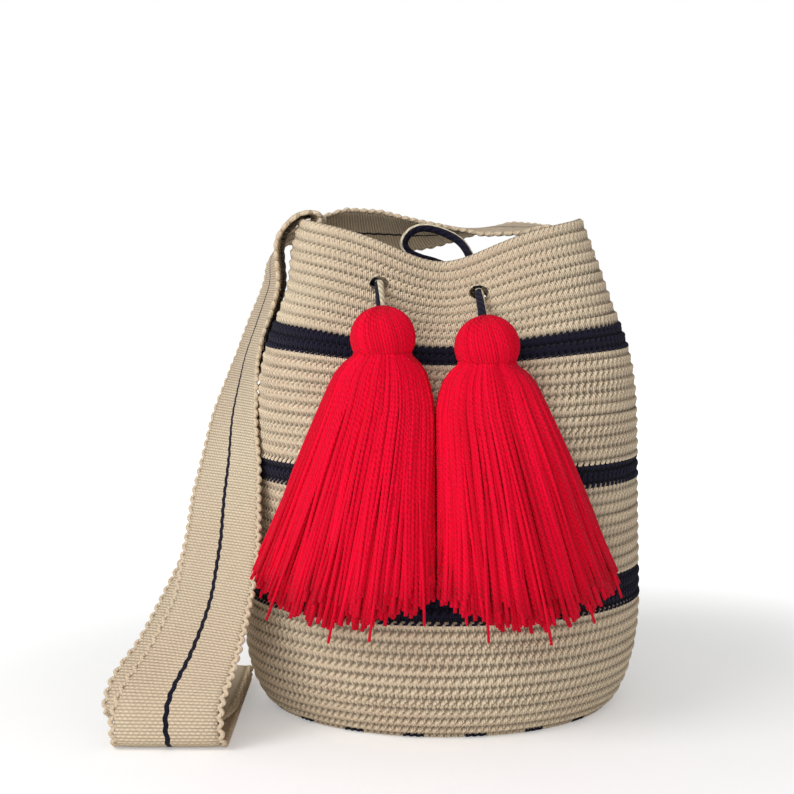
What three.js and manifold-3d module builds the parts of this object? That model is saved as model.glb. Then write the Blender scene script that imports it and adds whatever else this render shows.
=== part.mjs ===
// Crocheted bucket bag with a drawstring mouth, a woven shoulder strap and two yarn tassels.
// Millimetres, +Z up, -Y is the front. The origin is the centre of the flat base.
import * as THREE from "three";
import { mergeVertices } from "three/addons/utils/BufferGeometryUtils.js";
import Module from "manifold-3d";

const wasm = await Module();
wasm.setup();

// Driving dimensions of the crocheted body
const baseRadius = 101; // flat disc that the bag stands on
const bellyRadius = 126;
const bellyHeight = 70;
const shoulderRadius = 121;
const shoulderHeight = 200;
const neckHalfWidth = 104; // where the wall has begun to lean in
const neckHeight = 258;
const mouthHalfWidth = 87;
const mouthHalfDepth = 54;
const rimHeight = 305; // at the two strap ends, the highest points of the rim
const frontDip = 27; // how far the rim sags between the strap ends
const backDip = 39;
const mouthPinch = 0.16; // share of the depth that the gathered middle is drawn in
const mouthSquareness = 4; // power of the rim's outline, 2 is a plain oval
const gatherStart = 120; // height where the round wall starts to flatten towards the mouth
const wallThickness = 4.5;
const courseHeight = 6.8; // one row of stitches
const courseRelief = 1.2; // how far a row stands out between its two grooves
const bodySides = 36;

// Colour bands of the wall, in courses counted down from the rim
const navyBands = [
  { first: 10, courses: 3 },
  { first: 23, courses: 3 },
  { first: 33, courses: 3 },
];

// Eyelets and drawstring
const eyeletRadius = 4.2;
const eyeletCourse = 4; // courses below the rim
const eyeletSpacing = 60;
const eyeletOffset = -8; // the front pair sits a little left of the middle
const backEyeletSpacing = 56;
const cordDiameter = 5;
const cordSides = 8;

// Tassels
const headRadius = 18.6;
const headDrop = 31; // head's centre below its eyelet
const headShift = 2.5; // and to the right of it
const neckRadius = 14.5;
const tieTurns = 2;
const tieYarn = 1.8;
const skirtHem = 75; // height of the cut ends above the floor
const skirtThickness = 34;
const skirtOuter = 76; // reach of the hem from the head's axis, away from the other tassel
const skirtInner = 27; // and towards it
const skirtReach = 77; // how far in front of the axis the outer strands stay
const strands = 20; // ridges round a tassel
const strandGroove = 1.5;
const knotRadius = 5;

// Strap
const strapWidth = 66;
const strapThickness = 3.2;
const strapLap = 18; // how far each end reaches down inside the rim
const floorRun = 45; // how far behind the axis the slack on the floor turns back
const seamThread = 2;

// Clearances
const seat = 0.3; // between pieces that lie on each other
const restGap = 1.2; // between a tassel and the wall behind it

const cream = 0xcdbb9b;
const navy = 0x17162b;
const red = 0xd3122f;

const smooth = (low, high, value) => THREE.MathUtils.smoothstep(value, low, high);
const mix = THREE.MathUtils.lerp;

// Solids from meshes and back
function solidOf(geometry) {
  const bare = new THREE.BufferGeometry();
  bare.setAttribute("position", geometry.getAttribute("position"));
  bare.setIndex(geometry.index);
  const merged = mergeVertices(bare, 1e-4);
  return new wasm.Manifold(
    new wasm.Mesh({
      numProp: 3,
      vertProperties: merged.attributes.position.array,
      triVerts: new Uint32Array(merged.index.array),
    }),
  );
}

function geometryOf(solid) {
  const mesh = solid.getMesh();
  const geometry = new THREE.BufferGeometry();
  geometry.setAttribute("position", new THREE.BufferAttribute(mesh.vertProperties, 3));
  geometry.setIndex(new THREE.BufferAttribute(mesh.triVerts, 1));
  geometry.computeVertexNormals();
  return geometry;
}

// A closed skin over rings of points, each ring run round the same way and seen counter-clockwise
// from the end of the stack. A ring's second half mirrors its first, so strips close the ends.
function loft(rings) {
  const count = rings[0].length;
  const faces = [];
  for (let r = 0; r + 1 < rings.length; r++) {
    for (let i = 0; i < count; i++) {
      const j = (i + 1) % count;
      const [a, b, c, d] = [r * count + i, r * count + j, (r + 1) * count + j, (r + 1) * count + i];
      faces.push(a, b, c, a, c, d);
    }
  }
  const last = (rings.length - 1) * count;
  for (let i = 0; i < count / 2 - 1; i++) {
    const [a, b, c, d] = [i, i + 1, count - 2 - i, count - 1 - i];
    faces.push(a, c, b, a, d, c);
    faces.push(last + a, last + b, last + c, last + a, last + c, last + d);
  }
  const geometry = new THREE.BufferGeometry().setFromPoints(rings.flat());
  geometry.setIndex(faces);
  geometry.computeVertexNormals();
  return geometry;
}

// A round cord along a curve
function tube(curve, radius, sides, steps) {
  const outline = new THREE.Shape();
  for (let i = 0; i < sides; i++) {
    const angle = (2 * Math.PI * i) / sides;
    const [x, y] = [radius * Math.cos(angle), radius * Math.sin(angle)];
    if (i === 0) outline.moveTo(x, y);
    else outline.lineTo(x, y);
  }
  return new THREE.ExtrudeGeometry(outline, { extrudePath: curve, steps, bevelEnabled: false });
}

// The wall of the body, from the edge of the base (0) to the rim (1)
const profile = new THREE.CurvePath();
profile.add(
  new THREE.EllipseCurve(
    baseRadius, bellyHeight, bellyRadius - baseRadius, bellyHeight, -Math.PI / 2, 0, false,
  ),
);
profile.add(
  new THREE.SplineCurve([
    new THREE.Vector2(bellyRadius, bellyHeight),
    new THREE.Vector2(shoulderRadius, shoulderHeight),
    new THREE.Vector2(neckHalfWidth, neckHeight),
    new THREE.Vector2(mouthHalfWidth, rimHeight),
  ]),
);
const wallLength = profile.getLength();
const courses = Math.round(wallLength / courseHeight);

const profileSteps = 600;
const profilePoints = profile.getSpacedPoints(profileSteps);
function profileAt(share) {
  const step = Math.min(Math.floor(share * profileSteps), profileSteps - 1);
  return profilePoints[step].clone().lerp(profilePoints[step + 1], share * profileSteps - step);
}

// Point of the wall at a share of its height and an angle round the axis, moved out along the radius
function wallPoint(share, angle, out = 0) {
  const { x: halfWidth, y: height } = profileAt(share);
  const gather = smooth(gatherStart, rimHeight, height);
  const halfDepth = halfWidth * mix(1, mouthHalfDepth / mouthHalfWidth, gather);
  const power = mix(2, mouthSquareness, gather);
  const [c, s] = [Math.cos(angle), Math.sin(angle)];
  const radius = (Math.abs(c / halfWidth) ** power + Math.abs(s / halfDepth) ** power) ** (-1 / power) + out;
  const pinch = 1 - mouthPinch * gather * Math.abs(s) ** 10;
  const dip = (s < 0 ? frontDip : backDip) * gather ** 2 * Math.abs(s) ** 3;
  return new THREE.Vector3(radius * c, radius * s * pinch, height - dip);
}

const bisect = (low, high, tooHigh) => {
  for (let i = 0; i < 40; i++) {
    const middle = (low + high) / 2;
    if (tooHigh(middle)) high = middle;
    else low = middle;
  }
  return (low + high) / 2;
};

// Angle on the front (side -1) or back (side 1) where a level of the wall has this x
function angleAt(share, x, side) {
  return side * bisect(0, Math.PI, (angle) => wallPoint(share, side * angle).x < x);
}

// Front of the wall, with its relief, at this x and height
function frontOfWall(x, height) {
  const reach = (share) => profileAt(share).x;
  const inside = (share) => THREE.MathUtils.clamp(x, 0.01 - reach(share), reach(share) - 0.01);
  const level = bisect(0, 1, (s) => wallPoint(s, angleAt(s, inside(s), -1)).z > height);
  return wallPoint(level, angleAt(level, inside(level), -1), courseRelief).y;
}

// Body: one crocheted shell, its rows standing out as ridges, open at the mouth
function bodySolid() {
  const around = (share, out) => {
    const fine = 6 * bodySides;
    const loop = Array.from({ length: fine + 1 }, (_, i) => wallPoint(share, (2 * Math.PI * i) / fine, out));
    const far = [0];
    for (let i = 1; i <= fine; i++) far.push(far[i - 1] + loop[i].distanceTo(loop[i - 1]));
    const ring = [];
    let k = 0;
    for (let i = 0; i < bodySides; i++) {
      const target = (far[fine] * i) / bodySides;
      while (far[k + 1] < target) k++;
      ring.push(loop[k].clone().lerp(loop[k + 1], (target - far[k]) / (far[k + 1] - far[k])));
    }
    return ring;
  };
  const rings = [around(0, 0)];
  for (let i = 0; i < courses; i++) {
    rings.push(around((i + 0.5) / courses, courseRelief), around((i + 1) / courses, 0));
  }
  const innerRings = Math.ceil(courses / 5);
  for (let i = innerRings; i >= 0; i--) {
    const ring = around(i / innerRings, -wallThickness);
    if (i < innerRings) ring.forEach((p) => (p.z += wallThickness * (1 - smooth(0, bellyHeight, p.z))));
    rings.push(ring);
  }
  return solidOf(loft(rings));
}

const eyeletShare = 1 - eyeletCourse / courses;
const eyelets = [
  [eyeletOffset - eyeletSpacing / 2, -1],
  [eyeletOffset + eyeletSpacing / 2, -1],
  [-backEyeletSpacing / 2, 1],
  [backEyeletSpacing / 2, 1],
].map(([x, side]) => {
  const angle = angleAt(eyeletShare, x, side);
  return { place: wallPoint(eyeletShare, angle), side };
});

function bodyGeometry() {
  let body = bodySolid();
  const length = 6 * wallThickness;
  for (const { place } of eyelets) {
    const drill = new THREE.CylinderGeometry(eyeletRadius, eyeletRadius, length, 12);
    drill.translate(place.x, place.y, place.z);
    body = body.subtract(solidOf(drill));
  }
  return geometryOf(body);
}

// Colours of the rows, face by face, for a bag seen without further dressing
function paintBands(geometry) {
  const flat = geometry.toNonIndexed();
  const place = flat.getAttribute("position");
  const colours = new Float32Array(place.count * 3);
  const middle = new THREE.Vector3();
  for (let face = 0; face < place.count; face += 3) {
    middle.set(0, 0, 0);
    for (let k = 0; k < 3; k++) middle.add(new THREE.Vector3().fromBufferAttribute(place, face + k));
    middle.divideScalar(3);
    const angle = Math.atan2(middle.y, middle.x);
    const share = bisect(0, 1, (s) => wallPoint(s, angle).z > middle.z);
    const down = (1 - share) * courses;
    const inBand = navyBands.some(({ first, courses: rows }) => down > first && down < first + rows);
    const tint = new THREE.Color(inBand ? navy : cream);
    for (let k = 0; k < 3; k++) tint.toArray(colours, (face + k) * 3);
  }
  flat.setAttribute("color", new THREE.BufferAttribute(colours, 3));
  return flat;
}

const bag = new THREE.Group();
function add(name, geometry, look) {
  const mesh = new THREE.Mesh(geometry, new THREE.MeshStandardMaterial({ metalness: 0, ...look }));
  mesh.name = name;
  bag.add(mesh);
  return mesh;
}

add("bag_body", paintBands(bodyGeometry()), { vertexColors: true, roughness: 0.95 });

// Half width of the wall at a height, its inside and the outside of its ridges
const halfWidthAt = (height) => profileAt(bisect(0, 1, (s) => profileAt(s).y > height)).x;
const insideAt = (height) => halfWidthAt(height) - wallThickness;
const outsideAt = (height) => halfWidthAt(height) + courseRelief;

// Shoulder strap. Stations from the left end to the right end: the middle of the band, how far its
// near edge has turned from the front towards the right, how far that edge is raised, and how far
// both edges bend inwards.
const half = strapThickness / 2;
const lapLevel = rimHeight - strapLap;
const lapX = insideAt(rimHeight) - half - seat;
const lapFoot = insideAt(lapLevel) - half - seat;
const endBend = 6; // the ends follow the curve of the rim
const floorLevel = half + seat;
const beside = (height, gap) => -(outsideAt(height) + half + gap);
const strapRoute = [
  [-lapFoot, 0, lapLevel, 0, 0, endBend],
  [-lapX - 1, 0, rimHeight - 5, 0, 0, endBend],
  [-lapX, 0, rimHeight + 1.2, 0, 0, endBend],
  [-mouthHalfWidth + wallThickness / 2, 0, rimHeight + half + 1.6, 0, 0, endBend],
  [-mouthHalfWidth - 3.5, 0, rimHeight + half + 0.4, 0, 0, 4],
  [-mouthHalfWidth - 10, 0, rimHeight - 4, 0, 0, 2],
  [-mouthHalfWidth - 14.5, 0, rimHeight - 13, 0, 0, 0],
  [beside(283, 6), 1, 283, 0, 0, 0],
  [beside(263, 2.4), 4, 263, 0, 0, 0],
  [beside(247, 1.2), 8, 247, 0, 0, 0],
  [beside(230, 1), 15, 230, 0, 0, 0],
  [beside(205, 2), 26, 205, 2, 0, 0],
  [beside(180, 9), 21, 180, 8, 0, 0],
  [beside(154, 16), 6, 154, 20, 0, 0],
  [beside(130, 20.5), -14, 130, 31, 0, 0],
  [beside(98, 24), -38, 98, 43, 0, 0],
  [beside(75, 26.5), -58, 75, 50, 0, 0],
  [beside(50, 31), -82, 50, 58, 0, 0],
  [-bellyRadius - 34, -100, 29, 70, 0, 0],
  [-bellyRadius - 34, -107, 16, 78, 0, 0],
  [-bellyRadius - 31, -98, floorLevel + 7.5, 84, 0, 0],
  [-bellyRadius - 28, -70, floorLevel + 5, 88, 0, 0],
  [-bellyRadius - 26, -20, floorLevel + 5, 90, 0, 0],
  [-bellyRadius - 26, floorRun - 14, floorLevel + 6, 90, 0, 0],
  [-bellyRadius - 26, floorRun, floorLevel + 5, 90, 0, 0],
  [-bellyRadius - 26, floorRun - 14, floorLevel, 90, 0, 0],
  [-bellyRadius - 26, -20, floorLevel, 90, 0, 0],
  [-bellyRadius - 26, -90, floorLevel, 90, 0, 0],
  [-bellyRadius - 26, -128, floorLevel, 90, 0, 0],
  [-bellyRadius - 26.5, -135.5, floorLevel + 4.5, 89, 0, 0],
  [-bellyRadius - 28, -136, 16, 88, 0, 0],
  [-bellyRadius - 27, -130, 29, 80, 0, 0],
  [-bellyRadius - 19, -111, 50, 60, 0, 0],
  [-bellyRadius - 14, -86, 75, 50, 0, 0],
  [-bellyRadius - 10, -66, 98, 45, 0, 0],
  [-bellyRadius - 7, -45, 130, 34, 0, 0],
  [beside(154, 7), -30, 154, 25, 0, 0],
  [beside(180, 9.5), -15, 180, 17, 0, 0],
  [beside(202, 8.5), 0, 202, 12, 0, 0],
  [beside(217, 9), 14, 217, 8, 0, 0],
  [beside(240, 9), 32, 240, 4, 0, 0],
  [beside(263, 12), 50, 263, 0, 0, 0],
  [beside(281, 14), 62, 281, 0, 5, 0],
  [-mouthHalfWidth - 17, 69, 292, 0, 5, 0],
  [-mouthHalfWidth - 6, 71, 297, 0, 8, 0],
  [-mouthHalfWidth + 10, 69, 299, 0, 15, 0],
  [-61, 66, 299, 0, 25, 0],
  [-35, 62, 298, -6, 24, 0],
  [-10, 55, 297, -12, 15, 0],
  [14, 45, 298.5, -17, 3, 0],
  [38, 31, 299.5, -20, -8, 0],
  [58, 15, 299, -14, -6, 0],
  [lapX - 9, 4, rimHeight - 5.5, -4, 0, 3],
  [lapX - 1.5, 1, rimHeight - 9, 0, 0, 5],
  [lapFoot - 1.5, 0, lapLevel + 4, 0, 0, endBend],
  [lapFoot, 0, lapLevel, 0, 0, endBend],
];

function strapGeometry(route, width, thickness, steps) {
  const path = new THREE.CatmullRomCurve3(route.map(([x, y, z]) => new THREE.Vector3(x, y, z)), false, "centripetal");
  const rings = [];
  const across = 3;
  for (let i = 0; i <= steps; i++) {
    const u = i / steps;
    const spot = u * (route.length - 1);
    const at = Math.min(Math.floor(spot), route.length - 2);
    const ease = spot - at;
    const [turn, tilt, cup] = [3, 4, 5].map((k) => mix(route[at][k], route[at + 1][k], ease));
    const middle = path.getPoint(u);
    const along = path.getTangent(u);
    const bearing = THREE.MathUtils.degToRad(turn);
    const rise = THREE.MathUtils.degToRad(tilt);
    const edge = new THREE.Vector3(
      Math.sin(bearing) * Math.cos(rise), -Math.cos(bearing) * Math.cos(rise), Math.sin(rise),
    );
    const face = new THREE.Vector3().crossVectors(along, edge).normalize();
    const inwards = new THREE.Vector3(-Math.sign(middle.x) * cup, 0, 0);
    const place = (share, side) =>
      middle.clone()
        .addScaledVector(edge, (share * width) / 2)
        .addScaledVector(face, (side * thickness) / 2)
        .addScaledVector(inwards, share ** 2);
    const ring = [];
    for (let k = 0; k <= across; k++) ring.push(place(-1 + (2 * k) / across, 1));
    for (let k = across; k >= 0; k--) ring.push(place(-1 + (2 * k) / across, -1));
    rings.push(ring.reverse());
  }
  return loft(rings);
}

const strapMesh = strapGeometry(strapRoute, strapWidth, strapThickness, 96);
add("shoulder_strap", strapMesh, { color: cream, roughness: 0.9 });

// Tassels
function tassel(name, eyelet, lean) {
  const x = eyelet.place.x + headShift;
  const level = eyelet.place.z - headDrop;
  let depth = Infinity;
  for (let up = -80; up <= 80; up += 16) {
    for (let over = -80; over <= 80; over += 20) {
      const [u, o] = [up, over].map(THREE.MathUtils.degToRad);
      const wall = frontOfWall(x + headRadius * Math.cos(u) * Math.sin(o), level + headRadius * Math.sin(u));
      depth = Math.min(depth, wall - restGap - headRadius * Math.cos(u) * Math.cos(o));
    }
  }
  const count = 2 * strands;
  const tieHeight = tieTurns * tieYarn;
  const neckAngle = Math.PI - Math.asin(neckRadius / headRadius);
  const neckTop = level + headRadius * Math.cos(neckAngle);
  const neckFoot = neckTop - tieHeight - 2 * seat;
  const tieRadius = neckRadius + seat + 0.4 + tieYarn;
  for (const over of [-0.9, -0.45, 0, 0.45, 0.9]) {
    const wall = frontOfWall(x + tieRadius * over, neckFoot - 2);
    depth = Math.min(depth, wall - restGap - tieRadius * Math.sqrt(1 - over * over));
  }
  const head = new THREE.Vector3(x, depth, level);

  const circle = (radius, height) =>
    Array.from({ length: count }, (_, i) => {
      const angle = -(2 * Math.PI * (i + 0.5)) / count;
      const groove = i % 2 ? strandGroove * Math.min(1, radius / headRadius) : 0;
      const r = radius - groove;
      return new THREE.Vector3(head.x + r * Math.cos(angle), head.y + r * Math.sin(angle), height);
    });
  const rings = [];
  const headRings = 7;
  for (let i = 0; i <= headRings; i++) {
    const angle = mix(0.22, neckAngle, i / headRings);
    rings.push(circle(headRadius * Math.sin(angle), level + headRadius * Math.cos(angle)));
  }
  rings.push(circle(neckRadius, neckFoot));

  const skirtRings = 11;
  for (let r = 1; r <= skirtRings; r++) {
    const down = r / skirtRings;
    const height = mix(neckFoot, skirtHem, down);
    const outer = mix(neckRadius, skirtOuter, down ** 0.65);
    const inner = mix(neckRadius, skirtInner, down ** 0.45);
    const middle = head.x + (lean * (outer - inner)) / 2;
    const halfWidth = (outer + inner) / 2;
    const thick = mix(2 * neckRadius, skirtThickness, smooth(0, 0.4, down));
    const settle = smooth(0, 0.34, down);
    rings.push(
      circle(neckRadius, height).map((point, i) => {
        const angle = -(2 * Math.PI * (i + 0.5)) / count;
        const px = middle + halfWidth * Math.cos(angle);
        const back = Math.min(frontOfWall(px, height) - restGap, -skirtReach);
        const forward = Math.sin(angle) < 0;
        const bulge = forward ? thick * (0.3 + 0.7 * -Math.sin(angle)) - (i % 2 ? strandGroove : 0) : 0;
        const end = r === skirtRings ? 3.5 * Math.sin(2.4 * i) : 0;
        const wide = new THREE.Vector3(px, back - bulge, height + end);
        const narrow = new THREE.Vector3(
          middle + (halfWidth * 0.9 + 1) * Math.cos(angle), head.y + (neckRadius + 8 * down) * Math.sin(angle), height,
        );
        const clear = Math.min(narrow.lerp(wide, settle).y, frontOfWall(narrow.x, height) - restGap);
        return new THREE.Vector3(narrow.x, clear, narrow.z);
      }),
    );
  }

  // The tail runs from the eyelet into a bore in the head and ends in a stopper knot there
  const mouth = eyelet.place.clone().add(new THREE.Vector3(0, -courseRelief - cordDiameter / 2, 0));
  const pull = head.clone().sub(mouth).normalize();
  const tailPath = new THREE.CatmullRomCurve3([
    mouth,
    mouth.clone().lerp(head, 0.33).add(new THREE.Vector3(0, -1, 1)),
    mouth.clone().lerp(head, 0.66),
    head,
  ]);
  const ball = (radius, at) => new THREE.SphereGeometry(radius, 10, 6).translate(at.x, at.y, at.z);
  const tail = solidOf(tube(tailPath, cordDiameter / 2, cordSides, 8))
    .add(solidOf(ball(cordDiameter / 2, mouth)))
    .add(solidOf(ball(knotRadius, head)));
  const bore = tube(tailPath, cordDiameter / 2 + seat, cordSides, 8);
  const yarn = solidOf(loft(rings)).subtract(solidOf(bore)).subtract(solidOf(ball(knotRadius + seat, head)));

  const profileOfTie = [];
  const inner = neckRadius + seat;
  profileOfTie.push(new THREE.Vector2(inner, 0));
  for (let turn = 0; turn < tieTurns; turn++) {
    for (const step of [0.1, 0.5, 0.9]) {
      const bulge = tieYarn * Math.sin(Math.PI * step);
      profileOfTie.push(new THREE.Vector2(inner + 0.4 + bulge, (turn + step) * tieYarn));
    }
  }
  profileOfTie.push(new THREE.Vector2(inner, tieHeight), new THREE.Vector2(inner, 0));
  const tie = new THREE.LatheGeometry(profileOfTie, 18).rotateX(Math.PI / 2);
  tie.translate(head.x, head.y, neckFoot + seat);

  add(`drawstring_tail_${name}`, geometryOf(tail), { color: navy, roughness: 0.8 });
  add(`tassel_${name}`, geometryOf(yarn), { color: red, roughness: 0.9 });
  add(`tassel_tie_${name}`, tie, { color: red, roughness: 0.9 });
}
tassel("left", eyelets[0], -1);
tassel("right", eyelets[1], 1);

// Drawstring: in at the right front eyelet, up into a slack loop over the mouth, out and in again
// through the back pair, and along the wall inside to the left front eyelet
const drawstringPoints = [
  [22, -57.2, 259.2], [22, -50, 259.4], [22, -42, 262.5], [21, -34, 270], [18, -24, 281],
  [12.5, -15, 290], [4, -9, 295.5], [-6, -6, 299], [-14, -5, 299], [-20, -4.5, 295.5],
  [-23, -4, 289.6], [-20, -3.5, 284], [-13, -2, 280.5], [-4, 3, 278], [8, 14, 273],
  [18, 28, 264], [25.5, 41, 256], [28, 50, 253], [28, 59, 253], [26, 66.5, 253],
  [18, 71, 253], [0, 72, 253], [-18, 71, 253], [-26, 66.5, 253], [-28, 59, 253],
  [-28, 50, 253], [-34, 42.5, 255.5], [-48, 36, 259], [-62, 22, 262], [-67, 0, 264.5],
  [-63, -22, 266.5], [-53, -38, 267], [-43, -47, 266], [-38.5, -53.5, 264.8], [-38, -60, 264.6],
].map(([x, y, z]) => new THREE.Vector3(x, y, z));
const drawstring = tube(new THREE.CatmullRomCurve3(drawstringPoints), cordDiameter / 2, cordSides, 84);
add("drawstring_cord", drawstring, { color: navy, roughness: 0.8 });

// Sewing thread along the foot of each lapped strap end
for (const [name, side] of [["left", -1], ["right", 1]]) {
  const level = lapLevel - seamThread / 2 - seat;
  const run = [-0.92, -0.46, 0, 0.46, 0.92].map(
    (share) => new THREE.Vector3(side * (lapFoot - endBend * share ** 2), (share * strapWidth) / 2, level),
  );
  const thread = tube(new THREE.CatmullRomCurve3(run), seamThread / 2, 6, 10);
  add(`strap_seam_${name}`, thread, { color: cream, roughness: 0.9 });
}

export default bag;
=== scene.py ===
import math

import bpy
import numpy as np
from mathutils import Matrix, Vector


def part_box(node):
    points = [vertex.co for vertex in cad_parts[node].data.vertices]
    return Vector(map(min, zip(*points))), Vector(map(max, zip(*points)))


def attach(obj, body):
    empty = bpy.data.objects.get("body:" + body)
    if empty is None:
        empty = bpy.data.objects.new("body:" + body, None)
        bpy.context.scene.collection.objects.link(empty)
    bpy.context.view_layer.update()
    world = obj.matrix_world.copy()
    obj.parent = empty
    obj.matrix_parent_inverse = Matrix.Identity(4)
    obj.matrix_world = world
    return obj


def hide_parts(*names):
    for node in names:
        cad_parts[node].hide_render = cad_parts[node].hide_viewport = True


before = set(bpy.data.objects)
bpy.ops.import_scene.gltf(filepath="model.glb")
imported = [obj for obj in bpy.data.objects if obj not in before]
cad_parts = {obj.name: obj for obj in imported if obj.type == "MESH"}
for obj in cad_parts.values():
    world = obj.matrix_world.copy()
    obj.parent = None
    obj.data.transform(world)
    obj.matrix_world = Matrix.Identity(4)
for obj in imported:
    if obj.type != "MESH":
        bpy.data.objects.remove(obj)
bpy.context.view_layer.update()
rng = np.random.default_rng(7)
mm = 0.001
print("frame loaded")


# shader wiring

class Wire:
    # one output socket, with arithmetic that adds Math nodes
    def __init__(self, tree, socket):
        self.tree = tree
        self.socket = socket

    def math(self, operation, other=None, flip=False):
        node = self.tree.nodes.new("ShaderNodeMath")
        node.operation = operation
        pair = [self] if other is None else [self, other]
        if flip:
            pair.reverse()
        for slot, value in zip(node.inputs, pair):
            plug(self.tree, slot, value)
        return Wire(self.tree, node.outputs[0])

    def __add__(self, other):
        return self.math("ADD", other)

    def __radd__(self, other):
        return self.math("ADD", other, True)

    def __sub__(self, other):
        return self.math("SUBTRACT", other)

    def __rsub__(self, other):
        return self.math("SUBTRACT", other, True)

    def __mul__(self, other):
        return self.math("MULTIPLY", other)

    def __rmul__(self, other):
        return self.math("MULTIPLY", other, True)

    def __gt__(self, other):
        return self.math("GREATER_THAN", other)

    def __lt__(self, other):
        return self.math("LESS_THAN", other)

    def sin(self):
        return self.math("SINE")

    def abs(self):
        return self.math("ABSOLUTE")

    def fract(self):
        return self.math("FRACT")


def plug(tree, slot, value):
    if isinstance(value, Wire):
        tree.links.new(value.socket, slot)
    elif isinstance(value, tuple) and slot.type == "RGBA":
        slot.default_value = (*value, 1)
    else:
        slot.default_value = value


def addNode(tree, kind, settings=None, inputs=None, out=0):
    node = tree.nodes.new("ShaderNode" + kind)
    for key, value in (settings or {}).items():
        setattr(node, key, value)
    for key, value in (inputs or {}).items():
        plug(tree, node.inputs[key], value)
    return Wire(tree, node.outputs[out])


class Finish:
    # a material: its Principled sockets are fed by name, with _ for a space
    def __init__(self, name, **sockets):
        self.material = bpy.data.materials.new(name)
        self.material.use_nodes = True
        self.tree = self.material.node_tree
        self.surface = self.tree.nodes["Principled BSDF"]
        self.feed(**sockets)

    def feed(self, **sockets):
        for key, value in sockets.items():
            plug(self.tree, self.surface.inputs[key.replace("_", " ")], value)

    def put(self, kind, settings=None, inputs=None, out=0):
        return addNode(self.tree, kind, settings, inputs, out)

    def place(self):
        return self.put("TexCoord", out="Object")

    def spread(self, layer):
        # the two parts of a uv layer
        parts = {0: self.put("UVMap", {"uv_map": layer})}
        return self.put("SeparateXYZ", inputs=parts, out="X"), self.put("SeparateXYZ", inputs=parts, out="Y")

    def mark(self, name):
        return self.put("Attribute", {"attribute_name": name}, out="Fac")

    def mix(self, share, first, second, blend="MIX"):
        settings = {"data_type": "RGBA", "blend_type": blend}
        return self.put("Mix", settings, {0: share, 6: first, 7: second}, out=2)

    def shade(self, colour, value):
        # a colour made darker or lighter by one value
        grey = self.put("CombineColor", inputs={0: value, 1: value, 2: value})
        self.feed(Base_Color=self.mix(1.0, colour, grey, "MULTIPLY"))

    def noise(self, scale, detail, vector):
        return self.put("TexNoise", inputs={"Scale": scale, "Detail": detail, "Vector": vector})

    def bump(self, height, distance):
        self.feed(Normal=self.put("Bump", inputs={"Height": height, "Distance": distance, "Strength": 1.0}))


cotton = {"Specular_IOR_Level": 0.12, "Sheen_Roughness": 0.5}


def srgb(red, green, blue):
    shares = (red / 255, green / 255, blue / 255)
    return tuple(c / 12.92 if c <= 0.04045 else ((c + 0.055) / 1.055) ** 2.4 for c in shares)


creamTone = srgb(234, 219, 188)
creamDeep = srgb(215, 189, 163)
navyTone = srgb(24, 22, 40)


# mesh helpers

def clearSelection():
    if bpy.context.object and bpy.context.object.mode != "OBJECT":
        bpy.ops.object.mode_set(mode="OBJECT")
    bpy.ops.object.select_all(action="DESELECT")


def wrapGrid(name, spots, uv, tone=None, depth=None):
    # a flat grid is added, its points go where spots says, and its meeting edges are joined
    rows, cols = spots.shape[0] - 1, spots.shape[1] - 1
    clearSelection()
    bpy.ops.mesh.primitive_grid_add(x_subdivisions=cols, y_subdivisions=rows, size=2, calc_uvs=True)
    piece = bpy.context.object
    piece.name = name
    mesh = piece.data
    mesh.name = name
    flat = np.empty(len(mesh.vertices) * 3)
    mesh.vertices.foreach_get("co", flat)
    flat = flat.reshape(-1, 3)
    i = np.rint((flat[:, 0] + 1) / 2 * cols).astype(int)
    j = np.rint((flat[:, 1] + 1) / 2 * rows).astype(int)
    mesh.vertices.foreach_set("co", spots[j, i].ravel())
    corner = np.empty(len(mesh.loops), dtype=np.int32)
    mesh.loops.foreach_get("vertex_index", corner)
    mesh.uv_layers[0].data.foreach_set("uv", uv[j[corner], i[corner]].ravel())
    for mark, values in (("tone", tone), ("depth", depth)):
        if values is not None:
            layer = mesh.attributes.new(mark, "FLOAT", "POINT")
            layer.data.foreach_set("value", values[j, i].ravel())
    mesh.update()
    bpy.ops.object.mode_set(mode="EDIT")
    bpy.ops.mesh.select_all(action="SELECT")
    bpy.ops.mesh.remove_doubles(threshold=1e-7)
    bpy.ops.mesh.dissolve_degenerate(threshold=1e-7)
    bpy.ops.mesh.normals_make_consistent(inside=False)
    bpy.ops.object.mode_set(mode="OBJECT")
    bpy.ops.object.shade_smooth()
    return piece


def stepsAlong(points):
    # distance of each point from the first, along the path
    return np.concatenate([[0], np.cumsum(np.linalg.norm(np.diff(points, axis=0), axis=1))])


def pathLength(points):
    return float(stepsAlong(points)[-1])


def ease(value, start, end):
    t = np.clip((value - start) / (end - start), 0, 1)
    return t * t * (3 - 2 * t)


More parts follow.
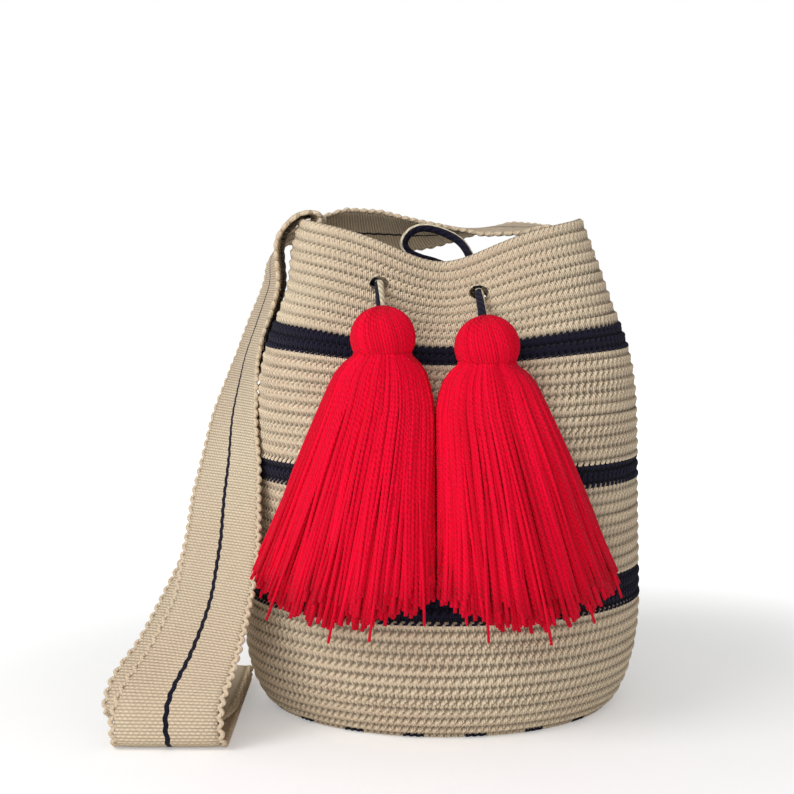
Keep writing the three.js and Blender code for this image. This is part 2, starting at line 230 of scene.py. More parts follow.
def smoothPath(points, count):
    # centripetal spline through the points, at even steps along it
    p = np.asarray(points, float)
    p = np.vstack([2 * p[0] - p[1], p, 2 * p[-1] - p[-2]])
    fine = []
    for k in range(1, len(p) - 2):
        a, b, c, d = p[k - 1:k + 3]
        t0 = 0.0
        t1 = t0 + np.linalg.norm(b - a) ** 0.5
        t2 = t1 + np.linalg.norm(c - b) ** 0.5
        t3 = t2 + np.linalg.norm(d - c) ** 0.5
        t = np.linspace(t1, t2, 24, endpoint=False)[:, None]
        ab = (t1 - t) / (t1 - t0) * a + (t - t0) / (t1 - t0) * b
        bc = (t2 - t) / (t2 - t1) * b + (t - t1) / (t2 - t1) * c
        cd = (t3 - t) / (t3 - t2) * c + (t - t2) / (t3 - t2) * d
        abc = (t2 - t) / (t2 - t0) * ab + (t - t0) / (t2 - t0) * bc
        bcd = (t3 - t) / (t3 - t1) * bc + (t - t1) / (t3 - t1) * cd
        fine.append((t2 - t) / (t2 - t1) * abc + (t - t1) / (t2 - t1) * bcd)
    fine = np.vstack(fine + [p[-2][None]])
    far = stepsAlong(fine)
    spots = np.linspace(0, far[-1], count)
    return np.stack([np.interp(spots, far, fine[:, k]) for k in range(3)], 1)


def sideways(path):
    # two directions square to each step of a path, carried along without twist
    run = np.gradient(path, axis=0)
    run /= np.linalg.norm(run, axis=1)[:, None]
    first = np.cross(run[0], [0.3, 0.2, 1.0])
    first /= np.linalg.norm(first)
    ups = [first]
    for step in run[1:]:
        up = ups[-1] - step * np.dot(ups[-1], step)
        ups.append(up / np.linalg.norm(up))
    ups = np.array(ups)
    return ups, np.cross(run, ups)


twistStart = 0.61803  # no two neighbouring strands start at one place in their twist


def tubes(name, paths, radii, sides, tones=None, spin=0.0):
    # round strands along paths, all in one mesh, ends closed; uv runs round and along each strand
    verts, faces, uvs, tone = [], [], [], []
    base = 0
    ring = np.linspace(0, 2 * math.pi, sides, endpoint=False)
    for k, path in enumerate(paths):
        n = len(path)
        a, b = sideways(path)
        r = np.broadcast_to(radii[k], (n,))[:, None, None]
        body = np.cos(ring)[None, :, None] * a[:, None] + np.sin(ring)[None, :, None] * b[:, None]
        body = path[:, None] + r * body
        verts += [body.reshape(-1, 3), path[:1], path[-1:]]
        far = stepsAlong(path) + k * twistStart % 1
        for i in range(n - 1):
            for s in range(sides):
                t = (s + 1) % sides
                row = base + i * sides
                faces.append((row + s, row + t, row + sides + t, row + sides + s))
                left, right = s / sides + spin, (s + 1) / sides + spin
                uvs += [(left, far[i]), (right, far[i]), (right, far[i + 1]), (left, far[i + 1])]
        for s in range(sides):
            t = (s + 1) % sides
            faces.append((base + t, base + s, base + n * sides))
            faces.append((base + (n - 1) * sides + s, base + (n - 1) * sides + t, base + n * sides + 1))
            uvs += [((s + 1) / sides, 0), (s / sides, 0), (0.5, 0)]
            uvs += [(s / sides, far[-1]), ((s + 1) / sides, far[-1]), (0.5, far[-1])]
        tone += [0.5 if tones is None else tones[k]] * (n * sides + 2)
        base += n * sides + 2
    mesh = bpy.data.meshes.new(name)
    mesh.from_pydata(np.vstack(verts), [], faces)
    layer = mesh.uv_layers.new(name="strand")
    layer.data.foreach_set("uv", np.array(uvs, dtype=np.float32).ravel())
    mark = mesh.attributes.new("tone", "FLOAT", "POINT")
    mark.data.foreach_set("value", np.array(tone, dtype=np.float32))
    piece = bpy.data.objects.new(name, mesh)
    bpy.context.collection.objects.link(piece)
    clearSelection()
    piece.select_set(True)
    bpy.context.view_layer.objects.active = piece
    bpy.ops.object.mode_set(mode="EDIT")
    bpy.ops.mesh.select_all(action="SELECT")
    bpy.ops.mesh.normals_make_consistent(inside=False)
    bpy.ops.object.mode_set(mode="OBJECT")
    bpy.ops.object.shade_smooth()
    return piece


def dress(piece, finish):
    piece.data.materials.clear()
    piece.data.materials.append(finish.material)


# camera
view = {"place": (-27.3, -1100, 270), "aim": (-27.3, 0, 192), "lens": 78.4}
cameraData = bpy.data.cameras.new("camera")
cameraData.lens = view["lens"]
cameraData.sensor_width = 36
cameraData.clip_start = 0.01
camera = bpy.data.objects.new("camera", cameraData)
camera.location = [v * mm for v in view["place"]]
tip = math.atan2(view["place"][2] - view["aim"][2], view["aim"][1] - view["place"][1])
camera.rotation_euler = (math.pi / 2 - tip, 0, 0)
bpy.context.collection.objects.link(camera)
bpy.context.scene.camera = camera


# the wall's shape, the same sizes as the source's, in millimetres
bag = {
    "baseRadius": 101, "bellyRadius": 126, "bellyHeight": 70, "shoulderRadius": 121, "shoulderHeight": 200,
    "neckHalfWidth": 104, "neckHeight": 258, "mouthHalfWidth": 87, "mouthHalfDepth": 54, "rimHeight": 305,
    "frontDip": 27, "backDip": 39, "mouthPinch": 0.16, "mouthSquareness": 4, "gatherStart": 120,
    "dent": 7.5, "dentFoot": (20, 120), "dentTop": (258, 298), "dentSide": (45, 105), "wall": 4.5,
    "courses": 47, "stitches": 160, "blocks": 18, "relief": 1.2,
    "navyBands": ((9.6, 12), (22, 24), (32, 35)),
}


def profileTable():
    turn = np.linspace(-math.pi / 2, 0, 120)
    heel = np.stack([bag["baseRadius"] + (bag["bellyRadius"] - bag["baseRadius"]) * np.cos(turn),
                     bag["bellyHeight"] * (1 + np.sin(turn))], 1)
    keys = np.array([
        (bag["bellyRadius"], bag["bellyHeight"]), (bag["shoulderRadius"], bag["shoulderHeight"]),
        (bag["neckHalfWidth"], bag["neckHeight"]), (bag["mouthHalfWidth"], bag["rimHeight"]),
    ], float)
    ends = np.vstack([keys[:1], keys, keys[-1:]])
    wall = []
    for k in range(3):
        a, b, c, d = ends[k:k + 4]
        t = np.linspace(0, 1, 120)[:, None]
        v0, v1 = (c - a) / 2, (d - b) / 2
        cubic, square = 2 * b - 2 * c + v0 + v1, -3 * b + 3 * c - 2 * v0 - v1
        wall.append(cubic * t ** 3 + square * t ** 2 + v0 * t + b)
    line = np.vstack([heel] + wall)
    far = stepsAlong(line)
    return far / far[-1], line


profileShare, profileLine = profileTable()


def wallPoint(share, angle, out=0.0):
    halfWidth = np.interp(share, profileShare, profileLine[:, 0])
    height = np.interp(share, profileShare, profileLine[:, 1])
    gather = ease(height, bag["gatherStart"], bag["rimHeight"])
    halfDepth = halfWidth * (1 + (bag["mouthHalfDepth"] / bag["mouthHalfWidth"] - 1) * gather)
    power = 2 + (bag["mouthSquareness"] - 2) * gather
    c, s = np.cos(angle), np.sin(angle)
    radius = (np.abs(c / halfWidth) ** power + np.abs(s / halfDepth) ** power) ** (-1 / power) + out
    pinch = 1 - bag["mouthPinch"] * gather * np.abs(s) ** 10
    dip = np.where(s < 0, bag["frontDip"], bag["backDip"]) * gather ** 2 * np.abs(s) ** 3
    return np.stack([radius * c, radius * s * pinch, height - dip], -1)


def strapDent(points, depth):
    # the strap leans on the wall's left side and pushes it in
    height, outwards = points[..., 2], -points[..., 0]
    push = depth * ease(height, *bag["dentFoot"]) * (1 - ease(height, *bag["dentTop"]))
    push = push * ease(outwards, *bag["dentSide"])
    return points + push[..., None] * np.array((1.0, 0, 0))


def halfWidthAt(height):
    return float(np.interp(height, profileLine[:, 1], profileLine[:, 0]))


def evenAngles(share, count):
    # angles that part one row of the wall into stitches of one width, from the back round
    fine = np.linspace(math.pi / 2, math.pi / 2 + 2 * math.pi, 1441)
    loop = wallPoint(share, fine)
    far = stepsAlong(loop)
    return np.interp(np.linspace(0, far[-1], count + 1), far, fine)


def frontSheet():
    # foremost y of the wall for every whole millimetre of x, from -128, and of z, from 0
    share = np.linspace(0, 1, 1500)
    angle = np.linspace(-math.pi, 0, 1500)
    sheet = wallPoint(share[:, None], angle[None, :], bag["relief"])
    foremost = np.zeros((307, 257))
    np.minimum.at(foremost, wallCell(sheet[..., 0], sheet[..., 2]), sheet[..., 1])
    return foremost


def wallCell(x, z):
    across = np.clip(np.rint(np.asarray(x) + 128).astype(int), 0, 256)
    return np.clip(np.rint(np.asarray(z)).astype(int), 0, 306), across


wallFront = frontSheet()


def frontOfWall(x, z):
    return wallFront[wallCell(x, z)]


# drawstring
cordLook = {
    "diameter": 5.0, "drawn": 5.4, "sides": 14, "twist": 3.0, "plait": 5.5,
    "pale": (0.55, 0.95),  # share of the way round that is cream
    "spin": {"loop": 0.63, "left": 0.05, "right": 0.2},
}
drawstringRoute = [
    (22, -57.2, 259.2), (22, -50, 259.4), (22, -42, 262.5), (21, -34, 270), (18, -24, 281),
    (12.5, -15, 290), (4, -9, 295.5), (-6, -6, 299), (-14, -5, 299), (-20, -4.5, 295.5),
    (-23, -4, 289.6), (-20, -3.5, 284), (-13, -2, 280.5), (-4, 3, 278), (8, 14, 273),
    (18, 28, 264), (25.5, 41, 256), (28, 50, 253), (28, 59, 253), (26, 66.5, 253),
    (18, 71, 253), (0, 72, 253), (-18, 71, 253), (-26, 66.5, 253), (-28, 59, 253),
    (-28, 50, 253), (-34, 42.5, 255.5), (-48, 36, 259), (-62, 22, 262), (-67, 0, 264.5),
    (-63, -22, 266.5), (-53, -38, 267), (-43, -47, 266), (-38.5, -53.5, 264.8), (-38, -60, 264.6),
]
tailMouths = {"left": (-38.0, -63.23, 264.59), "right": (22.0, -60.29, 259.22)}
headCentres = {}
for side in ("left", "right"):
    low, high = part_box("drawstring_tail_" + side)
    knot = 0.005  # the stopper knot's radius, at the middle of the tassel's head
    headCentres[side] = np.array([(low[0] + high[0]) / 2, low[1] + knot, low[2] + knot]) / mm


def makeCord(name, route, count, spin):
    path = smoothPath(route, count) * mm
    return tubes(name, [path], [cordLook["drawn"] / 2 * mm], cordLook["sides"], spin=spin), path


def cordFinish():
    look = Finish("twistedCotton", Roughness=0.85, Sheen_Weight=0.05, **cotton)
    u, v = look.spread("strand")
    turn = (u + v * cordLook["twist"]).fract()
    pale = (turn > cordLook["pale"][0]) * (turn < cordLook["pale"][1])
    # plait makes the plies lighter where they rise and darker between them, in the colour as well as the
    # bump: painted shade
    plait = ((u * 4 + v * (1000 / cordLook["plait"])) * (2 * math.pi)).sin() * 0.5 + 0.5
    fluff = look.noise(900.0, 3.0, look.place())
    colour = look.mix(pale, navyTone, creamTone)
    look.shade(colour, plait * 0.35 + fluff * 0.3 + 0.55)
    look.bump(plait * 0.8 + fluff * 0.3, 0.0006)
    return look


cordMaterial = cordFinish()
drawstring, drawstringPath = makeCord("drawstring_braid", drawstringRoute, 260, cordLook["spin"]["loop"])
dress(drawstring, cordMaterial)
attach(drawstring, "bag")
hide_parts("drawstring_cord")
for side in ("left", "right"):
    mouth, head = np.array(tailMouths[side]), headCentres[side]
    lift = mouth + (head - mouth) * 0.33 + np.array((0, -1, 1))
    route = [mouth, lift, mouth + (head - mouth) * 0.66, head]
    tail, tailPath = makeCord("tail_" + side, route, 40, cordLook["spin"][side])
    dress(tail, cordMaterial)
    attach(tail, side + "_tassel")
    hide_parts("drawstring_tail_" + side)
print("cords made")


# crocheted wall
stitch = {
    "cols": 6, "rows": 6, "tall": 6.8, "wide": 4.9, "stagger": 0.37,
    "loopRise": 1.25, "postRise": 0.85, "groove": 0.8, "rowRise": 0.26,
}


def crochetRelief(across, up, width):
    # height of the yarn over the wall, and the row that it belongs to
    # across counts stitches and up counts rows; a lobe has a middle, two half sizes, a lean and a rise
    height = np.full(across.shape, -stitch["groove"])
    row = np.floor(up)
    lobes = (
        (0.50, 0.77, 0.54, 1.05, 36, stitch["loopRise"]),
        (0.24, 0.36, 0.24, 2.0, -12, stitch["postRise"]),
        (0.74, 0.39, 0.24, 1.9, -12, stitch["postRise"] * 0.92),
    )
    for dr in (-1, 0, 1):
        home = np.floor(up) + dr
        shift = stitch["stagger"] * home
        for ds in (-1, 0, 1):
            cell = np.floor(across - shift) + ds
            grow = 1 + 0.10 * np.sin(cell * 12.9898 + home * 78.233)
            for cx, cy, halfAcross, halfUp, lean, rise in lobes:
                x = (across - shift - cell - cx) * width
                y = (up - home - cy) * stitch["tall"]
                turn = math.radians(lean)
                a = x * math.cos(turn) + y * math.sin(turn)
                b = -x * math.sin(turn) + y * math.cos(turn)
                d = (a / (halfAcross * stitch["wide"])) ** 2 + (b / halfUp) ** 2
                swell = np.sqrt(np.clip(1 - d, 0, 1)) * rise * grow
                taller = (d < 1) & (swell > height)
                height = np.where(taller, swell, height)
                row = np.where(taller, home + (0.4 if lean > 0 else 0), row)
    return height + stitch["rowRise"] * np.sin((up - 0.40) * 2 * math.pi), row


def isNavy(row, across):
    # a row's upper loops, row + 0.4, are navy only under another navy row
    fromRim = bag["courses"] - 1 - row
    band = np.zeros(row.shape, bool)
    for first, last in bag["navyBands"]:
        band |= (fromRim >= first) & (fromRim < last)
    # small navy blocks where the wall turns under to the base
    turn = (across / bag["stitches"] * bag["blocks"] - 0.02) % 1
    return band | ((row < 0.5) & (turn > 0.33) & (turn < 0.67))


def crochetBand(name, firstRow, lastRow, rim):
    cols = bag["stitches"] * stitch["cols"]
    ups = np.linspace(firstRow, lastRow, (lastRow - firstRow) * stitch["rows"] + 1)
    shares = ups / bag["courses"]
    across = np.linspace(0, bag["stitches"], cols + 1)
    angles = np.array([evenAngles(s, cols) for s in shares])
    skin = strapDent(wallPoint(shares[:, None], angles), bag["dent"])
    du, dv = np.gradient(skin, axis=1), np.gradient(skin, axis=0)
    du[:, 0] = du[:, -1] = skin[:, 1] - skin[:, -2]
    normal = np.cross(du, dv)
    normal /= np.linalg.norm(normal, axis=2)[..., None]
    width = np.linalg.norm(np.diff(skin, axis=1), axis=2).sum(1)[:, None] / bag["stitches"]
    shape = skin.shape[:2]
    height, row = crochetRelief(np.broadcast_to(across, shape), np.broadcast_to(ups[:, None], shape), width)
    height[:, -1], row[:, -1] = height[:, 0], row[:, 0]
    edge = 1 - np.clip((ups - (bag["courses"] - 0.5)) / 0.5, 0, 1)[:, None] ** 2 if rim else 1.0
    outer = skin + normal * (height * edge)[..., None]
    outer[..., 2] = np.maximum(outer[..., 2], 0.1)
    inner = skin - normal * bag["wall"]
    inner[..., 2] += bag["wall"] * (1 - np.clip(inner[..., 2] / bag["bellyHeight"], 0, 1)) ** 2 * 0.8
    steps = np.unique(np.linspace(len(ups) - 1, 0, 9).astype(int))[::-1]
    inner = inner[steps]
    # relief height as a share, kept as the depth mark: the material makes low yarn darker with it, a painted
    # shade in the grooves between rows
    shade = np.clip((height + 0.95) / 1.95, 0, 1)
    depth = np.concatenate([shade, np.full((len(steps), cols + 1), 0.7), shade[:1]])
    loop = np.concatenate([outer, inner, outer[:1]])
    upAll = np.concatenate([ups, ups[steps], ups[:1]])
    navy = isNavy(row, np.broadcast_to(across, shape)).astype(float)
    innerRow = np.floor(np.clip(ups[steps], 0, bag["courses"] - 0.01))[:, None]
    innerRow = np.broadcast_to(innerRow, inner.shape[:2])
    innerNavy = isNavy(innerRow, np.broadcast_to(across, innerRow.shape)).astype(float)
    tone = np.concatenate([navy, innerNavy, navy[:1]])
    u, v = across[None, :] / bag["stitches"], upAll[:, None] / bag["courses"]
    uv = np.stack(np.broadcast_arrays(u, v), -1)
    return wrapGrid(name, loop * mm, uv, tone=tone, depth=depth)


def crochetFinish():
    look = Finish("crochetCotton", Roughness=0.9, Sheen_Weight=0.05, **cotton)
    place = look.place()
    patch = look.noise(22.0, 3.0, place)
    fibre = look.noise(1400.0, 3.0, place)
    strand = look.noise(420.0, 2.0, place)
    u, v = look.spread("UVMap")
    # ply: slanting plies, lighter on their tops and darker between them, in the colour as well as the bump:
    # painted shade
    ply = ((u * (bag["stitches"] * 3) + v * (bag["courses"] * 0.9)) * (2 * math.pi)).sin() * 0.5 + 0.5
    cream = look.mix(patch, creamDeep, creamTone)
    colour = look.mix((look.mark("tone") - 0.5) * 6 + 0.5, cream, navyTone)
    yarn = strand * 0.3 + fibre * 0.25 + ply * 0.16 + 0.68
    # the depth mark darkens the yarn where the relief is low: painted shade in the grooves
    look.shade(colour, yarn * (look.mark("depth") * 0.85 + 0.34))
    look.bump(fibre * 0.5 + strand * 0.8 + ply * 0.6, 0.0009)
    return look


crochetMaterial = crochetFinish()
bandRows = (("lower", 0, 12), ("middle", 12, 24), ("shoulder", 24, 36), ("upper", 36, 47))
bands = [crochetBand("crochet_wall_" + n, first, last, n == "upper") for n, first, last in bandRows]


def crochetBase():
    # rows round and round towards the middle, with as many stitches in each row
    cols, radius, top = 360, bag["baseRadius"], 4.4
    angle = np.linspace(math.pi / 2, math.pi / 2 + 2 * math.pi, cols + 1)
    rings = np.linspace(radius, 0, 60)
    inside = np.array([0.0, 30, 60, 90, radius - 1.5])

    def disc(reach, height):
        flat = reach[:, None]
        return np.stack(np.broadcast_arrays(flat * np.cos(angle), flat * np.sin(angle), height), -1)

    rowOf = (radius - rings) / stitch["tall"]
    relief = 0.8 * (1 - np.abs(np.sin(rowOf * math.pi)))[:, None] + 0.25 * np.sin(angle * 90)[None, :]
    under = disc(rings, np.clip(relief * (rings / radius)[:, None], 0, 1))
    loop = np.concatenate([under, disc(inside, top), under[:1]])
    uv = np.zeros(loop.shape[:2] + (2,))
    ring = np.concatenate([rowOf, (radius - inside) / stitch["tall"], rowOf[:1]])[:, None]
    spoke = (angle / (2 * math.pi) * bag["blocks"] - bag["blocks"] / 4 - 0.02) % 1
    blocks = (np.abs(spoke - 0.5)[None, :] < 0.17) & (ring < 1.6)
    star = (blocks | ((ring > 7) & (ring < 9))).astype(float)
    return wrapGrid("crochet_base", loop * mm, uv, tone=star, depth=np.full(star.shape, 0.75))


bands.append(crochetBase())
eyelets = {
    "radius": 3.7, "stretch": (1.5, 1.1, 1), "through": 40,
    "places": ((-38, -59.5, 264.6), (22, -56.6, 259.2), (-28, 58, 253), (28, 58, 253)),
}
upper = bands[3]
for place in eyelets["places"]:
    clearSelection()
    bpy.ops.mesh.primitive_cylinder_add(
        vertices=20, radius=eyelets["radius"] * mm, depth=eyelets["through"] * mm,
        location=[v * mm for v in place], rotation=(math.pi / 2, 0, 0))
    drill = bpy.context.object
    drill.scale = eyelets["stretch"]
    clearSelection()
    upper.select_set(True)
    bpy.context.view_layer.objects.active = upper
    cut = upper.modifiers.new("eyelet", "BOOLEAN")
    cut.operation = "DIFFERENCE"
    cut.solver = "MANIFOLD"
    cut.object = drill
    bpy.ops.object.modifier_apply(modifier=cut.name)
    bpy.data.objects.remove(drill)
for piece in bands:
    dress(piece, crochetMaterial)
    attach(piece, "bag")
    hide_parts("bag_body")
print("crochet made")


# strap: middle of the band, turn of its near edge, rise of that edge, bend of both edges
strap = {
    "width": 59.0, "thick": 2.8, "picotPitch": 6.4, "picotReach": 3.0, "picotYarn": 1.2,
    "rib": 1.9, "float": 3.2, "line": 3.0, "splay": 5.0, "splayBelow": 110, "steps": 700, "across": 16,
}


def strapRoute():
    half, seat, rim = 1.6, 0.3, bag["rimHeight"]
    mouth, belly = bag["mouthHalfWidth"], bag["bellyRadius"]
    lap = rim - 18
    lapX = mouth - bag["wall"] - half - seat
    lapFoot = halfWidthAt(lap) - bag["wall"] - half - seat
    floor = half + seat

    def beside(height, gap):
        return -(halfWidthAt(height) + bag["relief"] + half + gap)

    return [
        (-lapFoot, 0, lap, 0, 0, 6), (-lapX - 1, 0, rim - 5, 0, 0, 6),
        (-lapX, 0, rim + 1.2, 0, 0, 6), (-mouth + 2.25, 0, rim + half + 1.6, 0, 0, 6),
        (-mouth - 3.5, 0, rim + half + 0.4, 0, 0, 4), (-mouth - 10, 0, rim - 4, 0, 0, 2),
        (-mouth - 14.5, 0, rim - 13, 0, 0, 0), (beside(283, 6), 1, 283, 0, 0, 0),
        (beside(263, 2.4), 4, 263, 0, 0, 0), (beside(247, 1.2), 8, 247, 0, 0, 0),
        (beside(230, 1), 15, 230, 0, 0, 0), (beside(205, 2), 26, 205, 2, 0, 0),
        (beside(180, 6), 21, 180, 8, 0, 0), (beside(154, 10), 6, 154, 20, 0, 0),
        (beside(130, 13), -14, 130, 31, 0, 0), (beside(98, 16), -38, 98, 43, 0, 0),
        (beside(75, 20), -58, 75, 50, 0, 0), (beside(50, 27), -82, 50, 58, 0, 0),
        (-belly - 38, -100, 29, 70, 0, 0), (-belly - 38, -107, 16, 78, 0, 0),
        (-belly - 34, -98, floor + 7.5, 84, 0, 0), (-belly - 28, -70, floor + 5, 88, 0, 0),
        (-belly - 26, -20, floor + 5, 90, 0, 0), (-belly - 26, 31, floor + 6, 90, 0, 0),
        (-belly - 26, 45, floor + 5, 90, 0, 0), (-belly - 26, 31, floor, 90, 0, 0),
        (-belly - 26, -20, floor, 90, 0, 0), (-belly - 26, -90, floor, 90, 0, 0),
        (-belly - 26, -128, floor, 90, 0, 0), (-belly - 26.5, -135.5, floor + 4.5, 89, 0, 0),
        (-belly - 28, -136, 16, 88, 0, 0), (-belly - 27, -130, 29, 80, 0, 0),
        (-belly - 19, -111, 50, 60, 0, 0), (-belly - 14, -86, 75, 50, 0, 0),
        (-belly - 14, -66, 98, 51, 0, 0), (-belly - 13.5, -45, 130, 46, 0, 0),
        (beside(154, 11), -30, 154, 39, 0, 0), (beside(180, 11), -15, 180, 30, 0, 0),
        (beside(202, 9.5), 0, 202, 22, 0, 0), (beside(217, 9.5), 14, 217, 17, 0, 0),
        (beside(240, 10), 32, 240, 16, 0, 0), (beside(263, 12), 50, 263, 13, 0, 0),
        (beside(281, 14), 62, 281, 9, 5, 0), (-mouth - 17, 69, 292, 6, 5, 0),
        (-mouth - 6, 71, 297, 3, 8, 0), (-mouth + 10, 69, 299, 0, 15, 0), (-61, 66, 299, 0, 25, 0),
        (-35, 62, 298, -6, 24, 0), (-10, 55, 297, -12, 15, 0), (14, 45, 298.5, -17, 3, 0),
        (38, 31, 299.5, -20, -8, 0), (58, 15, 299, -14, -6, 0), (lapX - 9, 4, rim - 5.5, -4, 0, 3),
        (lapX - 1.5, 1, rim - 9, 0, 0, 5), (lapFoot - 1.5, 0, lap + 4, 0, 0, 6),
        (lapFoot, 0, lap, 0, 0, 6),
    ]


def strapFrame(count):
    route = np.array(strapRoute(), float)
    middle = smoothPath(route[:, :3], 4000)
    keyFar = []
    for spot in route[:, :3]:
        start = keyFar[-1] if keyFar else 0
        gap = np.linalg.norm(middle[start:start + 700] - spot, axis=1)
        keyFar.append(start + int(np.argmin(gap)))
    step = np.linspace(0, len(middle) - 1, count)
    path = np.stack([np.interp(step, np.arange(len(middle)), middle[:, k]) for k in range(3)], 1)
    turn, rise, bend = [np.interp(step, keyFar, route[:, k]) for k in (3, 4, 5)]
    kernel = np.hanning(15) / np.hanning(15).sum()
    turn, rise, bend = [np.convolve(np.pad(v, 7, mode="edge"), kernel, "valid") for v in (turn, rise, bend)]
    path = strapDent(path, bag["dent"] - 0.8)
    path[:, 0] -= strap["splay"] * (1 - np.clip(path[:, 2] / strap["splayBelow"], 0, 1))
    turn, rise = np.radians(turn), np.radians(rise)
    edge = np.stack([np.sin(turn) * np.cos(rise), -np.cos(turn) * np.cos(rise), np.sin(rise)], 1)
    run = np.gradient(path, axis=0)
    face = np.cross(run, edge)
    face /= np.linalg.norm(face, axis=1)[:, None]
    inward = np.zeros_like(path)
    inward[:, 0] = -np.sign(path[:, 0]) * bend
    return path, edge, face, inward


def strapSpot(spots, share, side):
    path, edge, face, inward = spots
    flat = path + edge * (share * strap["width"] / 2) + inward * share ** 2
    return flat + face * (side * strap["thick"] / 2)


def makeStrap():
    spots = strapFrame(strap["steps"])
    length = pathLength(spots[0])
    shares = np.linspace(-1, 1, strap["across"] + 1)
    crown = 1 - 0.35 * np.abs(shares) ** 6
    ring = [strapSpot(spots, s, c) for s, c in zip(shares, crown)]
    ring += [strapSpot(spots, s, -c) for s, c in zip(shares[::-1], crown[::-1])]
    ring = np.stack(ring + ring[:1], 1)
    along = np.linspace(0, length, strap["steps"])
    u = np.concatenate([shares, shares[::-1], shares[:1]]) * 0.5 + 0.5
    uv = np.stack(np.broadcast_arrays(u[None, :], along[:, None] * mm), -1)
    ring[..., 2] = np.maximum(ring[..., 2], 0.2)
    # both ends close on the band's own middle
    first, last = [np.broadcast_to(end.mean(1, keepdims=True), end.shape) for end in (ring[:1], ring[-1:])]
    ring = np.concatenate([first, ring, last])
    uv = np.concatenate([uv[:1], uv, uv[-1:]])
    band = wrapGrid("strap_webbing", ring * mm, uv)
    paths, radii = [], []
    loops = int(length / strap["picotPitch"])
    fine = strapFrame(loops * 8)
    wave = np.abs(np.sin(np.linspace(0, loops * math.pi, loops * 8)))
    for side in (-1, 1):
        rim = strapSpot(fine, side, 0) + fine[1] * (side * (wave * strap["picotReach"] - 0.6))[:, None]
        rim[:, 2] = np.maximum(rim[:, 2], 1.8)
        paths.append(rim[10:-10] * mm)
        radii.append((strap["picotYarn"] + 0.35 * wave[10:-10]) * mm)
    picot = tubes("strap_picot", paths, radii, 6)
    return band, picot, length


def strapFinish():
    look = Finish("wovenCotton", Roughness=0.88, Sheen_Weight=0.05, **cotton)
    u, v = look.spread("UVMap")
    place = look.place()
    row = v * (1000 / strap["rib"])
    column = u * (strap["width"] / strap["float"]) + (row - row.fract()) * 0.5
    # weave is light on each rib and dark between ribs, in the colour as well as the bump: painted shade
    weave = (row.fract() * math.pi).sin() * ((column.fract() * math.pi).sin() * 0.6 + 0.4)
    fibre = look.noise(1100.0, 3.0, place)
    patch = look.noise(16.0, 3.0, place)
    wander = (v * (2 * math.pi * 1000 / 7.0)).sin() * 0.006
    line = (u - 0.5 + wander).abs() < strap["line"] / strap["width"] / 2
    cream = look.mix(patch, creamDeep, creamTone)
    look.shade(look.mix(line, cream, navyTone), weave * 0.5 + fibre * 0.3 + 0.50)
    look.bump(weave * 0.6 + fibre * 0.5, 0.0012)
    return look


def yarnFinish(name, first, second, ply):
    # twisted yarn: slanting plies along each strand, each strand a little lighter or darker; the twist also
    # makes the colour darker between the plies, a painted shade
    look = Finish(name, Roughness=0.85, Specular_IOR_Level=0.12, Sheen_Weight=0.02, Sheen_Roughness=0.45)
    u, v = look.spread("strand")
    twist = ((u * 2 + v * (1000 / ply)) * (2 * math.pi)).sin() * 0.5 + 0.5
    fibre = look.noise(1300.0, 3.0, look.place())
    look.shade(look.mix(look.mark("tone"), first, second), twist * 0.12 + fibre * 0.24 + 0.76)
    look.bump(twist + fibre * 0.4, 0.0004)
    return look


creamYarn = yarnFinish("creamYarn", creamDeep, creamTone, 2.6)
strapBand, strapPicot, strapLength = makeStrap()
dress(strapBand, strapFinish())
dress(strapPicot, creamYarn)
for piece in (strapBand, strapPicot):
    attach(piece, "bag")
    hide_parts("shoulder_strap")
print("strap made", round(strapLength), "mm long")


# tassels
tassel = {
    "headRadius": 18.6, "neckRadius": 14.5, "neckTall": 4.2, "overlap": 7.0, "yarn": 1.25, "steps": 14,
    "headStrands": 64, "headTurn": 0.22,
    "hem": 75, "hemCurve": 17, "thick": 34, "outer": 82, "inner": 28.5, "reach": 77,
    "puff": 8, "puffDrop": 0.11, "lowest": 66, "clear": 2.6,
    # angle round the skirt and sideways bow of each stray length
    "strays": ((-0.12, 4.0), (-0.3, -3.0), (-0.9, 3.5), (-1.5, -4.0), (-2.0, 3.0), (-2.5, -2.5)),
    # count, least and greatest depth, sign of the angle, least and greatest length
    "layers": ((150, 0.94, 1.03, -1, 0.88, 1.01), (120, 0.80, 0.93, -1, 0.93, 1.02),
               (110, 0.3, 0.8, -1, 0.97, 1.02), (64, 0.9, 1.0, 1, 0.96, 1.02)),
    "tieTurns": 2.2, "tieReach": 15.3, "tieYarn": 0.9,
}


